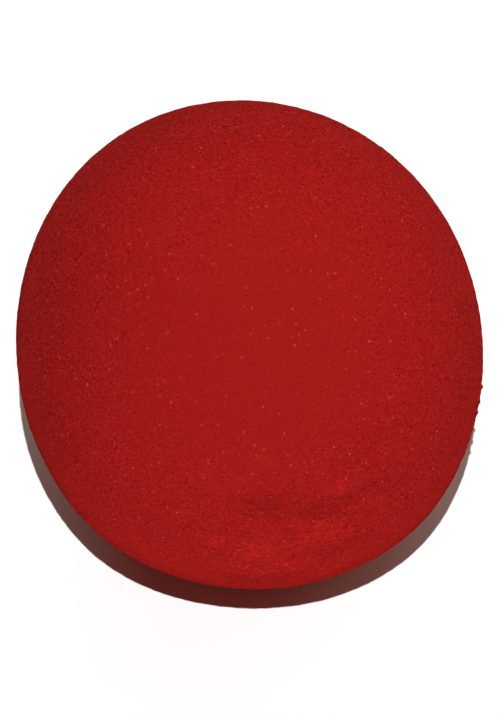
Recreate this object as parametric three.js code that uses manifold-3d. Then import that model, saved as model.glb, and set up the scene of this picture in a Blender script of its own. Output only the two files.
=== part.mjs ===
// A clown nose: one ball of soft open-cell foam, with a pocket cut in its back that grips the wearer's nose.
// Millimetres. The nose lies on its trimmed back, at z = 0, with +Z out through its front.
// +Y runs along the pocket, which is also the ball's longest way across.
import * as THREE from "three";
import { mergeVertices } from "three/addons/utils/BufferGeometryUtils.js";
import Module from "manifold-3d";

// The ball, before its back is trimmed
const BALL_WIDTH = 48.6;
const BALL_LENGTH = 51.9;
const BALL_DEPTH = 50;

// The flat seat trimmed off the back
const SEAT_TRIM = 3.2;
const SEAT_EDGE = 0.8;

// The pocket for the wearer's nose
const POCKET_WIDTH = 12;
const POCKET_LENGTH = 27;
const POCKET_DEPTH = 25;
const LIP_RADIUS = 1.2;
const LIP_SLOPE = 25;
const MOUTH_POINT = 1.35;
const POCKET_FULLNESS = 2.5;
const OVERCUT = 2;

// Fineness of the facets
const SKIN_DETAIL = 18;
const POCKET_SIDES = 56;
const LIP_STEPS = 4;
const WALL_STEPS = 10;

const FOAM_RED = 0xa31a17;
const FOAM_ROUGHNESS = 0.95;

// Slow waves round the ball's middle, left by the grinding: swell is a share of BALL_WIDTH, turn is in degrees from +X.
const WAVES = [
  { lobes: 3, swell: 0.002, turn: 83 },
  { lobes: 4, swell: 0.0028, turn: 27 },
];

// The crumpled patch low on the front. turn is in degrees from +X and tilt in degrees from the front pole. along is a
// half length, upper and lower are half widths towards the front pole and away from it, and rise is a height: all four
// are shares of BALL_WIDTH. roll lifts the long side, in degrees.
const FOLDS = [
  { name: "left hollow", turn: -103, tilt: 77, along: 0.079, upper: 0.065, lower: 0.1, rise: -0.019, roll: -15 },
  { name: "right hollow", turn: -88, tilt: 79, along: 0.05, upper: 0.04, lower: 0.04, rise: -0.013, roll: -11 },
  { name: "crease", turn: -72, tilt: 77, along: 0.085, upper: 0.02, lower: 0.026, rise: -0.006, roll: -17 },
  { name: "upper lip", turn: -83, tilt: 71, along: 0.03, upper: 0.024, lower: 0.022, rise: 0.006, roll: 5 },
  { name: "right bulge", turn: -89, tilt: 86, along: 0.041, upper: 0.027, lower: 0.03, rise: 0.008, roll: -14 },
  { name: "low bulge", turn: -108, tilt: 95, along: 0.064, upper: 0.06, lower: 0.05, rise: 0.01, roll: -3 },
  { name: "low arc", turn: -98, tilt: 96, along: 0.047, upper: 0.043, lower: 0.043, rise: 0.005, roll: 6 },
  { name: "upper swell", turn: -106, tilt: 65, along: 0.073, upper: 0.047, lower: 0.03, rise: 0.006, roll: -2 },
];
const PATCH = { turn: -96, tilt: 81, spread: 45, draw: 0.45 };

const centreHeight = BALL_DEPTH / 2 - SEAT_TRIM;
const frontPole = new THREE.Vector3(0, 0, 1);

const wasm = await Module();
wasm.setup();

// The direction at a turn about Z and a tilt from the front pole, both in degrees.
function directionAt(turn, tilt) {
  const [a, t] = [THREE.MathUtils.degToRad(turn), THREE.MathUtils.degToRad(tilt)];
  return new THREE.Vector3(Math.sin(t) * Math.cos(a), Math.sin(t) * Math.sin(a), Math.cos(t));
}

// Each fold with its centre and the two directions of its sides, worked out once.
const foldFrames = FOLDS.map((fold) => {
  const centre = directionAt(fold.turn, fold.tilt);
  const along = new THREE.Vector3().crossVectors(frontPole, centre).normalize();
  along.applyAxisAngle(centre, THREE.MathUtils.degToRad(fold.roll));
  const across = new THREE.Vector3().crossVectors(centre, along);
  return { ...fold, centre, alongSide: along, acrossSide: across };
});

// How far the folds lift the skin in a direction, as a length.
function foldRise(direction) {
  let rise = 0;
  for (const fold of foldFrames) {
    if (direction.dot(fold.centre) <= 0) continue;
    const s = direction.dot(fold.alongSide) / (2 * fold.along);
    const offset = direction.dot(fold.acrossSide);
    const t = offset / (2 * (offset > 0 ? fold.upper : fold.lower));
    rise += fold.rise * BALL_WIDTH * Math.exp(-s * s - t * t);
  }
  return rise;
}

// The swell of the grinding waves at an angle about Z, as a share of the radius, fading towards both poles.
function waveSwell(direction) {
  const angle = Math.atan2(direction.y, direction.x);
  const level = 1 - direction.z * direction.z;
  let swell = 0;
  for (const wave of WAVES) {
    swell += 2 * wave.swell * Math.cos(wave.lobes * (angle - THREE.MathUtils.degToRad(wave.turn)));
  }
  return swell * level;
}

// A height with everything under the seat brought up to it, through an edge of radius SEAT_EDGE.
function trimToSeat(z) {
  if (z >= SEAT_EDGE) return z;
  if (z <= -SEAT_EDGE) return 0;
  return (z + SEAT_EDGE) ** 2 / (4 * SEAT_EDGE);
}

// The point of the outer skin in a direction from the ball's centre.
function skinPoint(direction) {
  const swell = 1 + waveSwell(direction);
  const point = new THREE.Vector3(
    (direction.x * BALL_WIDTH * swell) / 2,
    (direction.y * BALL_LENGTH * swell) / 2,
    (direction.z * BALL_DEPTH) / 2,
  );
  point.addScaledVector(direction, foldRise(direction));
  point.z = trimToSeat(point.z + centreHeight);
  return point;
}

// The height of the skin at the back, over a point of the seat.
function backHeight(x, y) {
  const share = ((2 * x) / BALL_WIDTH) ** 2 + ((2 * y) / BALL_LENGTH) ** 2;
  return trimToSeat(centreHeight - (BALL_DEPTH / 2) * Math.sqrt(Math.max(0, 1 - share)));
}

// The solid of a closed three.js geometry.
function solidOf(geometry) {
  const bare = geometry.clone();
  bare.deleteAttribute("normal");
  bare.deleteAttribute("uv");
  const merged = mergeVertices(bare, 1e-4);
  return new wasm.Manifold(new wasm.Mesh({
    numProp: 3,
    vertProperties: merged.attributes.position.array,
    triVerts: new Uint32Array(merged.index.array),
  }));
}

// The three.js geometry of a solid.
function geometryOf(solid) {
  const mesh = solid.getMesh();
  const geometry = new THREE.BufferGeometry();
  geometry.setAttribute("position", new THREE.BufferAttribute(new Float32Array(mesh.vertProperties), 3));
  geometry.setIndex(new THREE.BufferAttribute(new Uint32Array(mesh.triVerts), 1));
  geometry.computeVertexNormals();
  return geometry;
}

// A direction drawn towards the crumpled patch, which gives its folds more and smaller facets than the plain skin.
function drawToPatch(direction) {
  const centre = directionAt(PATCH.turn, PATCH.tilt);
  const angle = centre.angleTo(direction);
  const axis = new THREE.Vector3().crossVectors(direction, centre).normalize();
  const share = angle / THREE.MathUtils.degToRad(PATCH.spread);
  return direction.clone().applyAxisAngle(axis, angle * PATCH.draw * Math.exp(-share * share));
}

// The ball: a unit sphere of facets, each corner moved to its place on the skin.
function ballGeometry() {
  const sphere = new THREE.IcosahedronGeometry(1, SKIN_DETAIL);
  const position = sphere.attributes.position;
  const direction = new THREE.Vector3();
  for (let i = 0; i < position.count; i++) {
    direction.fromBufferAttribute(position, i).normalize();
    const point = skinPoint(drawToPatch(direction));
    position.setXYZ(i, point.x, point.y, point.z);
  }
  return sphere;
}

// The rows of the pocket from outside the mouth to its end: how far each is flared, how deep it lies, and its size.
// The lip is an arc. It starts at LIP_SLOPE degrees and is carried on straight at that slope, out through the skin.
function pocketRows() {
  const slope = THREE.MathUtils.degToRad(LIP_SLOPE);
  const reach = LIP_RADIUS * Math.sin(slope);
  const start = LIP_RADIUS * (1 - Math.cos(slope)) - reach * Math.tan(slope);
  const rows = [
    { flare: LIP_RADIUS, depth: -OVERCUT, size: 1 },
    { flare: LIP_RADIUS, depth: start, size: 1 },
  ];
  for (let i = 0; i <= LIP_STEPS; i++) {
    const angle = THREE.MathUtils.lerp(slope, Math.PI / 2, i / LIP_STEPS);
    rows.push({ flare: LIP_RADIUS * (1 - Math.sin(angle)), depth: LIP_RADIUS * (1 - Math.cos(angle)), size: 1 });
  }
  for (let i = 1; i < WALL_STEPS; i++) {
    const share = Math.sin((Math.PI / 2) * (i / WALL_STEPS));
    rows.push({
      flare: 0,
      depth: LIP_RADIUS + share * (POCKET_DEPTH - LIP_RADIUS),
      size: (1 - share ** POCKET_FULLNESS) ** (1 / POCKET_FULLNESS),
    });
  }
  return rows;
}

// One ring of the pocket. Its mouth is a lens, pointed at both ends, and it follows the skin's height there.
function pocketRing({ flare, depth, size }) {
  const share = Math.max(0, depth) / POCKET_DEPTH;
  return Array.from({ length: POCKET_SIDES }, (_, i) => {
    const angle = (2 * Math.PI * i) / POCKET_SIDES;
    const bow = Math.sign(Math.cos(angle)) * Math.abs(Math.cos(angle)) ** MOUTH_POINT;
    const x = (POCKET_WIDTH / 2 + flare) * size * bow;
    const y = (POCKET_LENGTH / 2 + flare) * size * Math.sin(angle);
    return [x, y, backHeight(x, y) * (1 - share) + depth];
  });
}

// The solid that the pocket's cut takes out, lofted through its rings and closed at both ends.
function pocketGeometry() {
  const rings = pocketRows().map(pocketRing);
  const points = rings.flat();
  const index = [];
  for (let row = 0; row + 1 < rings.length; row++) {
    for (let i = 0; i < POCKET_SIDES; i++) {
      const next = (i + 1) % POCKET_SIDES;
      const [a, b] = [row * POCKET_SIDES + i, row * POCKET_SIDES + next];
      const [c, d] = [a + POCKET_SIDES, b + POCKET_SIDES];
      index.push(a, b, c, b, d, c);
    }
  }
  const outside = points.push([0, 0, -OVERCUT]) - 1;
  const end = points.push([0, 0, POCKET_DEPTH]) - 1;
  const last = (rings.length - 1) * POCKET_SIDES;
  for (let i = 0; i < POCKET_SIDES; i++) {
    const next = (i + 1) % POCKET_SIDES;
    index.push(next, i, outside);
    index.push(last + i, last + next, end);
  }
  const geometry = new THREE.BufferGeometry();
  geometry.setAttribute("position", new THREE.Float32BufferAttribute(points.flat(), 3));
  geometry.setIndex(index);
  return geometry;
}

const foam = new THREE.MeshStandardMaterial({
  name: "red_foam",
  color: FOAM_RED,
  roughness: FOAM_ROUGHNESS,
  metalness: 0,
});

const foamBall = new THREE.Mesh(geometryOf(solidOf(ballGeometry()).subtract(solidOf(pocketGeometry()))), foam);
foamBall.name = "foam_ball";

const clownNose = new THREE.Group();
clownNose.name = "clown_nose";
clownNose.add(foamBall);

export default clownNose;
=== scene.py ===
"""The looks of a foam clown nose: its skin, its crumples, and the light and camera of its photograph."""
import logging
import math
from dataclasses import dataclass, field
from enum import Enum

import bpy
import numpy as np
from mathutils import Matrix, Vector


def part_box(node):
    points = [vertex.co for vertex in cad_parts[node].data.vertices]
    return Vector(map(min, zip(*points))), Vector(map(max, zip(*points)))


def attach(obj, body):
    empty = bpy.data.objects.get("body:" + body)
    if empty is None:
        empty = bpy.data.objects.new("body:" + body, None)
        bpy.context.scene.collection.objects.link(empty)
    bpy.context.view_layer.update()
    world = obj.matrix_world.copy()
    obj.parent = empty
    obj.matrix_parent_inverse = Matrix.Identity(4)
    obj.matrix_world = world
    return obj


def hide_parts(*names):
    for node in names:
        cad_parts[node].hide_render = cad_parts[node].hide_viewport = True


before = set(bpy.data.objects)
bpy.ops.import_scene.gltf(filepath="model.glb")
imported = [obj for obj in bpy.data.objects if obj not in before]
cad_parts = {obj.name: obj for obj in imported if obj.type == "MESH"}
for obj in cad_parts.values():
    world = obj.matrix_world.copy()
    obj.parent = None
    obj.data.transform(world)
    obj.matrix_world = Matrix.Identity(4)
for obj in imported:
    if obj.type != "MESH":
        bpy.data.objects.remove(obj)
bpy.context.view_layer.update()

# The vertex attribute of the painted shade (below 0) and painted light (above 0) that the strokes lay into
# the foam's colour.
PAINTED_SHADING = "tone"
# The vertex attribute of how strongly the grain shows: its bump, and its painted pore shade and painted
# highlights.
COARSE = "coarse"
MM = 0.001
MICRON = 0.001 * MM

log = logging.getLogger("clown_nose")

Values = float | int | tuple[float, ...]


class Finish(Enum):
    """The finishes that the scene uses."""

    FOAM = "red_foam"
    PAPER = "white_paper"


class Wire:
    """A shader value that can be written in a formula: each operator adds its Math node."""

    def __init__(self, tree: "ShaderTree", socket: bpy.types.NodeSocket) -> None:
        """Holds the socket that the value comes from.

        Args:
            tree: The shader that the socket belongs to.
            socket: The output socket.
        """
        self.tree = tree
        self.socket = socket

    def _math(self, operation: str, first: "Wire | float", second: "Wire | float") -> "Wire":
        """Adds a Math node.

        Args:
            operation: The Math node's operation.
            first: Its first value.
            second: Its second value.

        Returns:
            The node's result.
        """
        node = self.tree.node("ShaderNodeMath", {"operation": operation}, {0: first, 1: second})
        return Wire(self.tree, node.outputs[0])

    def __add__(self, other: "Wire | float") -> "Wire":
        """The sum."""
        return self._math("ADD", self, other)

    def __radd__(self, other: float) -> "Wire":
        """The sum, with the number first."""
        return self._math("ADD", other, self)

    def __sub__(self, other: "Wire | float") -> "Wire":
        """The difference."""
        return self._math("SUBTRACT", self, other)

    def __rsub__(self, other: float) -> "Wire":
        """The difference, with the number first."""
        return self._math("SUBTRACT", other, self)

    def __mul__(self, other: "Wire | float") -> "Wire":
        """The product."""
        return self._math("MULTIPLY", self, other)

    def __rmul__(self, other: float) -> "Wire":
        """The product, with the number first."""
        return self._math("MULTIPLY", other, self)

    def __pow__(self, other: float) -> "Wire":
        """The power."""
        return self._math("POWER", self, other)

    def above(self, edge: float, soft: float) -> "Wire":
        """A mask that is 1 where the value is over an edge.

        Args:
            edge: The value at which the mask is half way.
            soft: How wide the mask's slope is.

        Returns:
            The mask, from 0 to 1.
        """
        node = self.tree.node(
            "ShaderNodeMapRange",
            {"interpolation_type": "SMOOTHSTEP"},
            {"Value": self, "From Min": edge - soft / 2, "From Max": edge + soft / 2},
        )
        return Wire(self.tree, node.outputs["Result"])

    def below(self, edge: float, soft: float) -> "Wire":
        """A mask that is 1 where the value is under an edge.

        Args:
            edge: The value at which the mask is half way.
            soft: How wide the mask's slope is.

        Returns:
            The mask, from 0 to 1.
        """
        return 1.0 - self.above(edge, soft)


class ShaderTree:
    """The nodes of a material or of the world, added one after another."""

    def __init__(self, owner: bpy.types.Material | bpy.types.World) -> None:
        """Empties the owner's nodes but for a new output.

        Args:
            owner: The material or world that the nodes belong to.
        """
        self.owner = owner
        owner.use_nodes = True
        self.nodes = owner.node_tree.nodes
        self.links = owner.node_tree.links
        self.nodes.clear()
        kind = "World" if isinstance(owner, bpy.types.World) else "Material"
        self.output = self.nodes.new(f"ShaderNodeOutput{kind}")

    def node(
        self,
        kind: str,
        settings: dict[str, object] | None = None,
        sockets: "dict[int | str, Wire | Values] | None" = None,
    ) -> bpy.types.Node:
        """Adds a node.

        Args:
            kind: The node's type.
            settings: Its properties, set before its sockets.
            sockets: A value or a wire for each input that is named.

        Returns:
            The node.
        """
        node = self.nodes.new(kind)
        for name, value in (settings or {}).items():
            setattr(node, name, value)
        for name, value in (sockets or {}).items():
            if isinstance(value, Wire):
                self.links.new(value.socket, node.inputs[name])
            else:
                node.inputs[name].default_value = value
        return node

    def wire(self, node: bpy.types.Node, output: int | str = 0) -> Wire:
        """One of a node's outputs, as a wire."""
        return Wire(self, node.outputs[output])

    def scale(self, colour: tuple[float, ...], share: Wire) -> Wire:
        """Darkens or brightens a colour.

        Args:
            colour: The colour, as red, green and blue.
            share: What its brightness is multiplied by.

        Returns:
            The new colour.
        """
        scaled = self.node("ShaderNodeVectorMath", {"operation": "SCALE"}, {0: colour, "Scale": share})
        return self.wire(scaled)

    def mix(self, share: Wire, first: "Wire | Values", second: "Wire | Values") -> Wire:
        """Mixes two colours.

        Args:
            share: How much of the second colour there is.
            first: The first colour.
            second: The second colour.

        Returns:
            The mixed colour.
        """
        node = self.nodes.new("ShaderNodeMix")
        node.data_type = "RGBA"
        colour_a, colour_b = [s for s in node.inputs if s.type == "RGBA"]
        self.links.new(share.socket, node.inputs["Factor"])
        for value, socket in ((first, colour_a), (second, colour_b)):
            if isinstance(value, Wire):
                self.links.new(value.socket, socket)
            else:
                socket.default_value = value
        return Wire(self, [s for s in node.outputs if s.type == "RGBA"][0])

    def place(self) -> Wire:
        """The place on the piece, in metres."""
        return self.wire(self.node("ShaderNodeTexCoord"), "Object")

    def noise(self, look: "Noise") -> Wire:
        """A smooth noise.

        Args:
            look: Its size and its finer layers.

        Returns:
            The noise, about 0.5 on average.
        """
        size = {"Vector": self.place(), "Scale": 1 / look.size}
        layers = {"Detail": look.detail, "Roughness": look.roughness}
        return self.wire(self.node("ShaderNodeTexNoise", {}, size | layers), "Fac")

    def cells(self, size: float, feature: str = "F1") -> bpy.types.Node:
        """A pattern of foam cells.

        Args:
            size: The mean width of a cell, in metres.
            feature: What the Voronoi texture measures.

        Returns:
            The Voronoi node.
        """
        sockets = {"Vector": self.place(), "Scale": 1 / size}
        return self.node("ShaderNodeTexVoronoi", {"feature": feature}, sockets)

    def finish(self, surface: bpy.types.Node) -> bpy.types.Material | bpy.types.World:
        """Joins the surface to the output.

        Args:
            surface: The shader that shows.

        Returns:
            The finished material or world.
        """
        self.links.new(surface.outputs[0], self.output.inputs["Surface"])
        return self.owner


@dataclass(frozen=True)
class Noise:
    """A smooth noise: the size of its largest lumps, in metres, and how many finer layers it has."""

    size: float
    detail: float = 2.0
    roughness: float = 0.5


@dataclass(frozen=True)
class Dots:
    """Small round dots of uneven strength: the higher their rarity, the fewer of them are strong.

    Their spacing is in metres, and their reach is their width as a share of it.
    """

    spacing: float
    reach: float
    rarity: float

    def strength(self, tree: ShaderTree) -> Wire:
        """Scatters the dots over a material.

        Args:
            tree: The material's shader.

        Returns:
            The strength of the dots, from 0 to 1.
        """
        cell = tree.cells(self.spacing)
        pick = tree.node("ShaderNodeSeparateColor", {}, {"Color": tree.wire(cell, "Color")})
        spots = tree.wire(cell, "Distance").below(self.reach / 4, self.reach / 2)
        return spots * tree.wire(pick, "Red") ** self.rarity


@dataclass(frozen=True)
class SpongeFinish:
    """Fine open-cell foam, dyed deep red: matt, with torn cells for a grain, painted shade in its pores,
    painted highlights on its cell edges and rare soft glints painted into its colour.
    """

    red: tuple[float, float, float] = (0.305, 0.0092, 0.0078)
    # The colour that the painted glints and the painted highlights of the specks mix towards.
    glint: tuple[float, float, float, float] = (0.75, 0.089, 0.082, 1.0)
    grain: Noise = Noise(0.32 * MM, 3.0, 0.72)
    mottle: Noise = Noise(2.4 * MM, 4.0, 0.62)
    clump: Noise = Noise(1.6 * MM, 3.0, 0.6)
    # The pores carry painted shade and the specks painted highlights.
    pores: Dots = Dots(0.29 * MM, 0.85, 2.0)
    specks: Dots = Dots(0.28 * MM, 0.5, 1.5)
    # The glints are painted highlights.
    glints: Dots = Dots(0.78 * MM, 0.48, 3.0)
    grain_contrast: float = 2.6
    mottle_contrast: float = 0.10
    clump_contrast: float = 3.2
    clump_base: float = -0.5
    pore_shade: float = 1.05
    speck_strength: float = 1.35
    # The painted glints' share everywhere, and their extra share where the grain is coarse.
    painted_glint_base: float = 0.6
    coarse_glint: float = 0.3
    pit_depth: float = 0.38 * MM
    grain_height: float = 0.7
    pore_height: float = 0.6
    matt: float = 0.95
    scatter: float = 0.22
    fuzz: float = 0.075
    fuzz_width: float = 0.25
    fuzz_tint: tuple[float, float, float, float] = (1.0, 0.10, 0.09, 1.0)

    def material(self) -> bpy.types.Material:
        """Builds the foam's material.

        Returns:
            The material.
        """
        tree = ShaderTree(bpy.data.materials.new(Finish.FOAM.value))
        # The painted shade and light laid by the strokes.
        painted_shade_and_light = tree.wire(tree.node("ShaderNodeAttribute", {"attribute_name": PAINTED_SHADING}), "Fac")
        coarse = tree.wire(tree.node("ShaderNodeAttribute", {"attribute_name": COARSE}), "Fac")
        grain, mottle, clump = (tree.noise(look) for look in (self.grain, self.mottle, self.clump))
        pores, specks, glints = (look.strength(tree) for look in (self.pores, self.specks, self.glints))

        rough = coarse * (clump * self.clump_contrast + self.clump_base)
        # Random grain, less painted shade in the pores.
        speckle = (grain - 0.5) * self.grain_contrast - pores * self.pore_shade
        mottling = (mottle - 0.5) * self.mottle_contrast
        # The foam's red, with the strokes' painted shade and light, a random mottle and the grain.
        colour = tree.scale(self.red, 1.0 + painted_shade_and_light + mottling + rough * speckle)
        # Painted glints, seen everywhere and more where the grain is coarse.
        gleam = glints * (coarse * self.coarse_glint + self.painted_glint_base)
        # The specks are painted highlights on the cell edges, strongest where the grain is coarse.
        colour = tree.mix(gleam + specks * rough * self.speck_strength, colour, self.glint)

        height = (grain * self.grain_height - pores * self.pore_height) * coarse
        bump = tree.node("ShaderNodeBump", {}, {"Distance": self.pit_depth, "Height": height})
        sponge = tree.node("ShaderNodeBsdfPrincipled", {}, {
            "Base Color": colour,
            "Diffuse Roughness": self.scatter,
            "Roughness": self.matt,
            "Specular IOR Level": 0.0,
            "Sheen Weight": self.fuzz,
            "Sheen Roughness": self.fuzz_width,
            "Sheen Tint": self.fuzz_tint,
            "Normal": tree.wire(bump),
        })
        return tree.finish(sponge)


@dataclass(frozen=True)
class PaperFinish:
    """Plain white paper."""

    white: tuple[float, float, float, float] = (0.86, 0.86, 0.86, 1.0)
    tooth: Noise = Noise(0.8 * MM)
    tooth_depth: float = 0.01 * MM
    matt: float = 0.9
    gloss: float = 0.1

    def material(self) -> bpy.types.Material:
        """Builds the paper's material.

        Returns:
            The material.
        """
        tree = ShaderTree(bpy.data.materials.new(Finish.PAPER.value))
        tooth = tree.noise(self.tooth)
        bump = tree.node("ShaderNodeBump", {}, {"Distance": self.tooth_depth, "Height": tooth})
        paper = tree.node("ShaderNodeBsdfPrincipled", {}, {
            "Base Color": self.white,
            "Roughness": self.matt,
            "Specular IOR Level": self.gloss,
            "Normal": tree.wire(bump),
        })
        return tree.finish(paper)


def direction_at(turn: float, tilt: float) -> Vector:
    """The direction at a turn about Z and a tilt from the front pole, both in degrees."""
    turn, tilt = math.radians(turn), math.radians(tilt)
    return Vector((math.sin(tilt) * math.cos(turn), math.sin(tilt) * math.sin(turn), math.cos(tilt)))


@dataclass(frozen=True)
class PhotoCamera:
    """The camera over the nose.

    The frame's size and the ball's middle and radius in it are in pixels of the photograph.
    """

    azimuth: float = -17.4
    elevation: float = 60.0
    distance: float = 1.0
    sensor: float = 24.0
    frame_width: int = 500
    frame_height: int = 714
    ball_x: float = 248.9
    ball_y: float = 345.8
    ball_radius: float = 239.5
    ball_width: float = 50.05 * MM
    nearest: float = 0.01

    def axes(self) -> tuple[Vector, Vector, Vector]:
        """The directions to the picture's right, to its top, and back to the lens."""
        a, e = math.radians(self.azimuth), math.radians(self.elevation)
        back = Vector((math.sin(a) * math.cos(e), -math.cos(a) * math.cos(e), math.sin(e)))
        right = Vector((math.cos(a), math.sin(a), 0))
        return right, back.cross(right), back

    def pixel(self) -> float:
        """The width of a pixel at the ball, in metres."""
        return self.ball_width / (2 * self.ball_radius)

    def across(self, x: float, y: float) -> Vector:
        """The way from the middle of the picture to a pixel, in metres at the ball."""
        right, up, _ = self.axes()
        return (right * (x - self.frame_width / 2) - up * (y - self.frame_height / 2)) * self.pixel()

    def lens(self, ball_centre: Vector) -> Vector:
        """The place of the lens, for a ball that stands in the frame as in the photograph."""
        return ball_centre - self.across(self.ball_x, self.ball_y) + self.axes()[2] * self.distance

    def build(self, ball_centre: Vector) -> None:
        """Sets the camera.

        Args:
            ball_centre: The middle of the ball.
        """
        data = bpy.data.cameras.new("photo_camera")
        data.sensor_fit = "HORIZONTAL"
        data.sensor_width = self.sensor
        data.lens = self.sensor * self.distance / (self.frame_width * self.pixel())
        data.clip_start = self.nearest
        camera = bpy.data.objects.new("photo_camera", data)
        bpy.context.scene.collection.objects.link(camera)
        turned = Matrix(self.axes()).transposed().to_4x4()
        camera.matrix_world = Matrix.Translation(self.lens(ball_centre)) @ turned
        bpy.context.scene.camera = camera


@dataclass(frozen=True)
class Facing:
    """A place on the ball, by its turn about Z and its tilt from the front pole, both in degrees."""

    turn: float
    tilt: float

    def frame(self, roll: float, ball: "SpongeBall") -> tuple[Vector, Vector]:
        """The directions of the place and of a stroke's long side there.

        Args:
            roll: How far the long side is lifted from the level about Z, in degrees.
            ball: The ball; not used.

        Returns:
            The direction of the place from the ball's centre, and the direction of the long side.
        """
        middle = direction_at(self.turn, self.tilt)
        along = Vector((0, 0, 1)).cross(middle).normalized()
        along.rotate(Matrix.Rotation(math.radians(roll), 3, middle))
        return middle, along


@dataclass(frozen=True)
class Pixel:
    """A place on the ball, by the pixel of the photograph that shows it, counted from the top left."""

    x: float
    y: float

    def frame(self, roll: float, ball: "SpongeBall") -> tuple[Vector, Vector]:
        """The directions of the place and of a stroke's long side there.

        Args:
            roll: How far the long side is lifted from the level in the photograph, in degrees.
            ball: The ball.

        Returns:
            The direction of the place from the ball's centre, and the direction of the long side.
        """
        camera, centre = ball.camera, ball.centre()
        right, up, back = camera.axes()
        sight = camera.across(self.x, self.y) - back * camera.distance
        _, point, _, _ = bpy.data.objects[ball.node].ray_cast(camera.lens(centre), sight)
        middle = (point - centre).normalized()
        along = right * math.cos(math.radians(roll)) + up * math.sin(math.radians(roll))
        along -= back * (along.dot(middle) / back.dot(middle))
        return middle, along.normalized()


@dataclass(frozen=True)
class Stroke:
    """One sculpting stroke: a long soft press or pull of the skin, which may also paint shade or light into
    the foam's colour.

    Its half sizes on the skin and its rise are in millimetres, its painted shading is a share of the foam's
    brightness, painted shade below 0 and painted light above 0, and its roll is in degrees.
    """

    name: str
    place: Facing | Pixel
    along: float
    upper: float
    lower: float
    rise: float = 0.0
    tone: float = 0.0
    roll: float = 0.0

    def weight(self, directions: np.ndarray, ball: "SpongeBall") -> np.ndarray:
        """How much of the stroke falls in each direction.

        Args:
            directions: Unit directions from the ball's centre, one a row.
            ball: The ball.

        Returns:
            The weight in each direction, from 0 to 1.
        """
        middle, along = self.place.frame(self.roll, ball)
        offset = directions @ np.array(middle.cross(along)) * ball.radius
        s = directions @ np.array(along) * ball.radius / self.along
        t = offset / np.where(offset > 0, self.upper, self.lower)
        facing = directions @ np.array(middle) > 0
        return facing * np.exp(-s * s - t * t)


def only(piece: bpy.types.Object) -> None:
    """Makes one object the active and only selected one."""
    bpy.ops.object.select_all(action="DESELECT")
    piece.select_set(True)
    bpy.context.view_layer.objects.active = piece


def apply_modifier(piece: bpy.types.Object, kind: str, **settings: object) -> None:
    """Adds a modifier to a piece and applies it.

    Args:
        piece: The piece.
        kind: The modifier's type.
        settings: Its properties.
    """
    only(piece)
    modifier = piece.modifiers.new(kind.lower(), kind)
    for name, value in settings.items():
        setattr(modifier, name, value)
    bpy.ops.object.modifier_apply(modifier=modifier.name)


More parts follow.
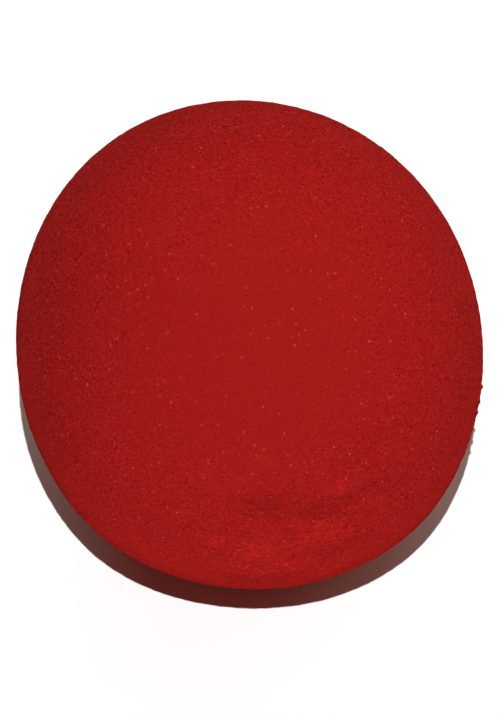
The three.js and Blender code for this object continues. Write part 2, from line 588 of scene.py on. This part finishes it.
@dataclass
class SpongeBall:
    """The ball of foam, with the strokes that crumple it and paint shade and light into its colour."""

    node: str = "foam_ball"
    body: str = "root"
    camera: PhotoCamera = PhotoCamera()
    depth: float = 50.0 * MM
    facet: float = 0.40 * MM
    fine_zones: tuple[tuple[float, float, float], ...] = ((-96.0, 81.0, 27.0), (-33.0, 90.0, 7.0))
    nap: float = 0.10 * MM
    softening: int = 6
    lump_size: float = 1.1 * MM
    lump_height: float = 0.09 * MM
    pore_size: float = 0.62 * MM
    pore_depth: float = 0.10 * MM
    smoothing: float = 0.80
    front_fall: float = 1.3
    # Towards the side that faces the camera and the flash, where relief casts little shade, the grain
    # fades: its bump, its painted pore shade and its painted highlights.
    smoothed: Stroke = Stroke("rubbed front", Facing(-107, 30), 19.5, 19.5, 19.5)
    fill: float = 1.0
    radius: float = 24.3
    # Broad strokes paint shade and light into the foam's colour: painted shade on the left, upper left,
    # lower left and right flanks and on the top band; painted light on the low front and under the middle,
    # and on the low rim as light bounced off the paper; painted highlights along the top, left and right
    # rims. The flat under the front and the two lower swells only reshape the skin.
    broad: list[Stroke] = field(default_factory=lambda: [
        Stroke("left flank", Facing(162, 68), 12.5, 15.5, 15.5, 0.0, -0.22, -32),
        Stroke("low front", Facing(-108, 92), 17.0, 7.0, 7.0, 0.0, 0.10),
        Stroke("flat under the front", Facing(-106, 110), 10.0, 7.0, 5.0, -0.28),
        Stroke("lower left swell", Facing(-147, 109), 7.0, 7.0, 7.0, 0.22),
        Stroke("lower right swell", Facing(-59, 108), 6.0, 7.0, 6.0, 0.18),
        Stroke("low rim", Facing(-104, 109), 22.0, 6.5, 6.5, 0.0, 0.62),
        Stroke("right flank", Facing(-24, 72), 12.0, 6.0, 6.0, 0.0, -0.13, 32),
        Stroke("under the middle", Facing(-112, 72), 14.0, 7.0, 7.0, 0.0, 0.07),
        Stroke("lower left flank", Facing(-168, 85), 6.0, 7.0, 7.0, 0.0, -0.08),
        Stroke("upper left flank", Facing(100, 49), 17.0, 4.5, 6.5, 0.0, -0.22, -7),
        Stroke("top band", Pixel(212, 138), 15.0, 4.0, 5.0, 0.0, -0.06, 10),
        Stroke("top rim", Pixel(187, 114), 9.0, 2.5, 2.5, 0.0, 0.04, 15),
        Stroke("left rim", Pixel(31, 287), 7.0, 2.5, 2.5, 0.0, 0.12, 75),
        Stroke("right rim", Pixel(467, 287), 3.5, 2.5, 2.5, 0.0, 0.10, -75),
    ])
    # The crumples press and pull the folded patch, and paint shade into its hollows, pits, pores, nicks,
    # dents, slits and creases and light onto its crests, knobs, bulges, lips, swells, ridges and brows.
    crumples: list[Stroke] = field(default_factory=lambda: [
        Stroke("left hollow shade", Pixel(276, 506), 3.0, 1.4, 1.9, 0.0, -0.07),
        Stroke("left hollow roof", Pixel(276, 497), 1.2, 0.4, 0.7, -0.03, -0.07),
        Stroke("dark nick", Pixel(248, 503), 0.5, 0.5, 0.5, -0.12, -0.20, 10),
        Stroke("nick above", Pixel(252, 498), 0.25, 0.5, 0.5, -0.05, -0.12),
        Stroke("pore left", Pixel(267, 509), 0.4, 0.3, 0.3, -0.08, -0.18),
        Stroke("pore right", Pixel(278, 508), 0.3, 0.3, 0.3, -0.06, -0.12, 10),
        Stroke("dent right", Pixel(301, 514), 0.6, 0.6, 0.6, -0.10, -0.10),
        Stroke("slit left", Pixel(237, 511), 0.5, 0.3, 0.3, -0.06, -0.12, -10),
        Stroke("right hollow shade", Pixel(333, 506), 2.1, 0.9, 1.2, 0.0, -0.06, 12),
        Stroke("right hollow roof", Pixel(320, 501), 1.5, 0.3, 0.4, -0.05, -0.10, 17),
        Stroke("roof end", Pixel(340, 500), 1.0, 0.3, 0.3, -0.05, -0.08, 5),
        Stroke("right pore", Pixel(317, 507), 0.4, 0.4, 0.4, -0.10, -0.20),
        Stroke("foot of right hollow", Pixel(315, 516), 0.7, 0.6, 0.6, -0.05, -0.08),
        Stroke("crease near", Pixel(356, 493), 1.6, 0.25, 0.6, -0.08, -0.12, 22),
        Stroke("crease far", Pixel(380, 481), 2.2, 0.25, 0.5, -0.07, -0.11, 25),
        Stroke("right bulge crest", Pixel(324, 525), 2.0, 0.6, 0.6, 0.10, 0.12, 6),
        Stroke("right bulge post", Pixel(316, 536), 0.5, 1.4, 1.2, 0.08, 0.08, 5),
        Stroke("bulge left end", Pixel(302, 525), 0.6, 0.5, 0.5, 0.05, 0.10),
        Stroke("upper lip knob", Pixel(340, 490), 0.6, 0.8, 0.6, 0.12, 0.17),
        Stroke("upper lip tail", Pixel(342, 481), 0.4, 0.5, 0.5, 0.06, 0.08),
        Stroke("upper lip edge", Pixel(328, 493), 0.9, 0.4, 0.4, 0.05, 0.07, 15),
        Stroke("low left knob", Pixel(216, 543), 0.9, 0.8, 0.8, 0.12, 0.18, -5),
        Stroke("low bulge crest", Pixel(256, 553), 3.4, 1.7, 1.4, 0.12, 0.05),
        Stroke("low bulge knob", Pixel(258, 557), 0.7, 1.0, 0.9, 0.06, 0.02),
        Stroke("low spot", Pixel(251, 544), 0.3, 0.6, 0.6, 0.06, 0.12),
        Stroke("under low bulge", Pixel(258, 568), 1.0, 1.0, 1.0, -0.10, -0.10),
        Stroke("line under low bulge", Pixel(236, 562), 1.4, 0.4, 0.7, -0.06, -0.06),
        Stroke("dent under knob", Pixel(217, 553), 0.7, 0.8, 0.8, -0.08, -0.11, -5),
        Stroke("dent low left", Pixel(194, 554), 0.6, 0.7, 0.7, -0.06, -0.10),
        Stroke("left swell", Pixel(213, 489), 1.4, 1.0, 1.0, 0.08, 0.05),
        Stroke("brow left", Pixel(238, 478), 1.5, 0.6, 0.5, 0.05, 0.04),
        Stroke("brow middle", Pixel(262, 460), 1.7, 0.9, 0.9, 0.06, 0.05),
        Stroke("brow right", Pixel(311, 468), 1.3, 0.6, 0.6, 0.05, 0.05),
        Stroke("brow pit", Pixel(269, 471), 0.5, 0.3, 0.3, -0.06, -0.10, 10),
        Stroke("brow dent", Pixel(268, 484), 0.5, 0.8, 0.8, -0.05, -0.05),
        Stroke("right swell", Pixel(376, 503), 1.2, 0.7, 0.7, 0.08, 0.06, 5),
        Stroke("right pit", Pixel(411, 502), 0.7, 1.1, 1.1, -0.10, -0.09),
        Stroke("far right pit", Pixel(436, 487), 1.2, 1.0, 1.0, -0.12, -0.10, 50),
        Stroke("far right ridge", Pixel(443, 497), 1.2, 0.9, 0.9, 0.08, 0.06, 55),
        Stroke("low right dent", Pixel(384, 545), 1.2, 0.8, 0.8, -0.08, -0.06),
        Stroke("pit left", Pixel(161, 503), 0.6, 0.7, 0.7, -0.10, -0.10),
        Stroke("pit left low", Pixel(185, 527), 1.0, 0.6, 0.6, -0.08, -0.07),
        Stroke("left ridge", Pixel(185, 516), 1.2, 0.5, 0.5, 0.06, 0.05, 10),
        Stroke("pit far left", Pixel(204, 498), 0.4, 0.4, 0.4, -0.05, -0.07),
        # At the burr and the torn edge, painted shade darkens the raised tips.
        Stroke("burr", Facing(-30, 88), 0.28, 0.5, 0.5, 0.34, -0.30, 28),
        Stroke("torn edge top", Facing(-33, 90), 0.4, 0.9, 0.9, 0.18, -0.20, 20),
        Stroke("torn edge nick", Facing(-34.4, 90.4), 0.3, 0.9, 0.9, -0.28, 0.0, 16),
        Stroke("torn edge low", Facing(-35.3, 91), 0.3, 0.9, 0.9, 0.22, -0.20, 12),
        Stroke("torn edge foot", Facing(-36.8, 91.9), 0.35, 0.9, 0.9, -0.26, 0.0, 6),
    ])

    def centre(self) -> Vector:
        """The middle of the ball, half its untrimmed depth under its top."""
        low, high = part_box(self.node)
        return Vector((0, 0, high[2] - self.depth / 2))

    def solid_copy(self) -> bpy.types.Object:
        """Copies the foam's solid into a new piece, as one joined skin.

        Returns:
            The new piece.
        """
        solid = bpy.data.objects[self.node]
        ball = bpy.data.objects.new("sponge_ball", solid.data.copy())
        bpy.context.scene.collection.objects.link(ball)
        ball.data.materials.clear()
        only(ball)
        bpy.ops.object.mode_set(mode="EDIT")
        bpy.ops.mesh.select_all(action="SELECT")
        bpy.ops.mesh.remove_doubles(threshold=MICRON)
        bpy.ops.object.mode_set(mode="OBJECT")
        return ball

    def refine(self, ball: bpy.types.Object) -> None:
        """Halves the facets of the crumpled patch and of the torn edge, for their finer folds.

        Args:
            ball: The piece.
        """
        centre = self.centre()
        for turn, tilt, reach in self.fine_zones:
            zone, edge = direction_at(turn, tilt), math.cos(math.radians(reach))
            only(ball)
            bpy.ops.object.mode_set(mode="EDIT")
            bpy.ops.mesh.select_all(action="DESELECT")
            bpy.ops.object.mode_set(mode="OBJECT")
            for face in ball.data.polygons:
                face.select = (face.center - centre).normalized().dot(zone) > edge
            bpy.ops.object.mode_set(mode="EDIT")
            bpy.ops.mesh.subdivide(number_cuts=1, ngon=False)
            bpy.ops.object.mode_set(mode="OBJECT")

    def sculpt(self, ball: bpy.types.Object) -> None:
        """Presses and pulls the skin by the strokes, and lays the back flat on its seat.

        Args:
            ball: The piece.
        """
        mesh = ball.data
        points = np.empty(len(mesh.vertices) * 3)
        mesh.vertices.foreach_get("co", points)
        points = points.reshape(-1, 3)
        rays = points - np.array(self.centre())
        directions = rays / np.linalg.norm(rays, axis=1, keepdims=True)
        lift = np.full(len(points), self.nap)
        tone = np.zeros(len(points))
        # The grain's strength: weak on the side that faces the camera and the flash.
        coarse = (1 - self.smoothing * self.smoothed.weight(directions, self)) ** self.front_fall
        for stroke in self.broad + self.crumples:
            weight = stroke.weight(directions, self)
            lift += weight * stroke.rise * MM
            # Each stroke's painted shade or light.
            tone += weight * stroke.tone
        points += directions * lift[:, None]
        points[:, 2] = np.maximum(points[:, 2], 0.0)
        mesh.vertices.foreach_set("co", points.ravel())
        for name, values in ((PAINTED_SHADING, tone), (COARSE, coarse)):
            mesh.attributes.new(name, "FLOAT", "POINT").data.foreach_set("value", values)
        mesh.update()

    def roughen(self, ball: bpy.types.Object) -> None:
        """Gives the skin the lumps and torn pores of ground foam.

        Args:
            ball: The piece.
        """
        lumps = bpy.data.textures.new("lumps", "CLOUDS")
        lumps.noise_depth = 2
        pores = bpy.data.textures.new("pores", "VORONOI")
        reliefs = (
            (lumps, self.lump_size, self.lump_height, 0.5),
            (pores, self.pore_size, self.pore_depth, 0.6),
        )
        for texture, size, height, level in reliefs:
            texture.noise_scale = size
            relief = {"texture": texture, "texture_coords": "LOCAL", "strength": height, "mid_level": level}
            apply_modifier(ball, "DISPLACE", **relief)

    def build(self) -> bpy.types.Object:
        """Builds and dresses the ball.

        Returns:
            The finished piece.
        """
        ball = self.solid_copy()
        apply_modifier(ball, "REMESH", mode="VOXEL", voxel_size=self.facet, adaptivity=0.0)
        apply_modifier(ball, "SMOOTH", factor=0.5, iterations=self.softening)
        self.refine(ball)
        self.roughen(ball)
        self.sculpt(ball)
        only(ball)
        bpy.ops.object.shade_smooth()
        ball.data.materials.append(SpongeFinish().material())
        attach(ball, self.body)
        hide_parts(self.node)
        return ball


@dataclass(frozen=True)
class BackLight:
    """A weak soft light behind the nose. Its turn to the right, its lift and its width are in degrees."""

    name: str
    turn: float
    strength: float
    colour: tuple[float, float, float]
    lift: float = 35.0
    width: float = 60.0

    def towards(self, behind: Vector, right: Vector) -> Vector:
        """The direction from the nose to the light.

        Args:
            behind: The level direction away from the camera.
            right: The level direction to the picture's right.

        Returns:
            The direction.
        """
        turn, lift = math.radians(self.turn), math.radians(self.lift)
        return behind * math.cos(turn) + right * math.sin(turn) + Vector((0, 0, math.tan(lift)))


@dataclass
class Studio:
    """The white paper, the flash over the lens and the soft fill round the nose."""

    paper_size: float = 20.0
    flash_up: float = 11.3
    flash_right: float = 0.6
    flash_width: float = 0.5
    flash_strength: float = 3.64
    back_lights: tuple[BackLight, ...] = (
        BackLight("right light", 45.0, 0.45, (1.0, 0.90, 0.74)),
        BackLight("back light", -6.0, 0.55, (1.0, 0.96, 0.86)),
    )
    fill_strength: float = 0.045
    fill_colour: tuple[float, float, float, float] = (1.0, 0.74, 0.60, 1.0)
    backdrop: tuple[float, float, float, float] = (0.9, 0.9, 0.9, 1.0)

    def floor(self) -> bpy.types.Object:
        """Lays the paper.

        Returns:
            The paper.
        """
        bpy.ops.object.select_all(action="DESELECT")
        bpy.ops.mesh.primitive_plane_add(size=self.paper_size)
        paper = bpy.context.object
        paper.name = "paper"
        paper.data.materials.append(PaperFinish().material())
        return paper

    def lamp(self, name: str, towards: Vector, width: float, strength: float) -> bpy.types.Light:
        """Lights the nose from one side.

        Args:
            name: The lamp's name.
            towards: The direction from the nose to the lamp.
            width: How wide the lamp looks from the nose, in degrees.
            strength: Its strength.

        Returns:
            The lamp's light.
        """
        data = bpy.data.lights.new(name, "SUN")
        data.angle = math.radians(width)
        data.energy = strength
        lamp = bpy.data.objects.new(name, data)
        bpy.context.scene.collection.objects.link(lamp)
        lamp.rotation_euler = towards.to_track_quat("Z", "Y").to_euler()
        return data

    def lamps(self, camera: PhotoCamera) -> None:
        """Places the flash a few degrees over the lens, and the weak lights behind the nose.

        Args:
            camera: The camera that the flash is on.
        """
        right, up, back = camera.axes()
        rise, drift = math.radians(self.flash_up), math.radians(self.flash_right)
        flash = back + up * math.tan(rise) + right * math.tan(drift)
        self.lamp("flash", flash, self.flash_width, self.flash_strength)
        behind = Vector((-back.x, -back.y, 0)).normalized()
        for light in self.back_lights:
            lamp = self.lamp(light.name, light.towards(behind, right), light.width, light.strength)
            lamp.color = light.colour

    def fill(self) -> None:
        """Lights everything softly and warmly from all round, in front of a pale backdrop."""
        tree = ShaderTree(bpy.data.worlds.new("white_room"))
        glow = {"Color": self.fill_colour, "Strength": self.fill_strength}
        light = tree.node("ShaderNodeBackground", {}, glow)
        backdrop = tree.node("ShaderNodeBackground", {}, {"Color": self.backdrop})
        seen = tree.wire(tree.node("ShaderNodeLightPath"), "Is Camera Ray")
        room = tree.node("ShaderNodeMixShader", {}, {0: seen, 1: tree.wire(light), 2: tree.wire(backdrop)})
        bpy.context.scene.world = tree.finish(room)


def main() -> None:
    """Builds the camera, the nose and the studio, and reports each piece."""
    logging.basicConfig(level=logging.INFO, format="%(name)s: %(message)s")
    sponge = SpongeBall()
    sponge.camera.build(sponge.centre())
    ball = sponge.build()
    log.info("%s: %d faces", ball.name, len(ball.data.polygons))
    studio = Studio()
    paper = studio.floor()
    studio.lamps(sponge.camera)
    studio.fill()
    log.info("%s laid", paper.name)
    bpy.context.scene.view_settings.view_transform = "Standard"


if __name__ == "__main__":
    main()
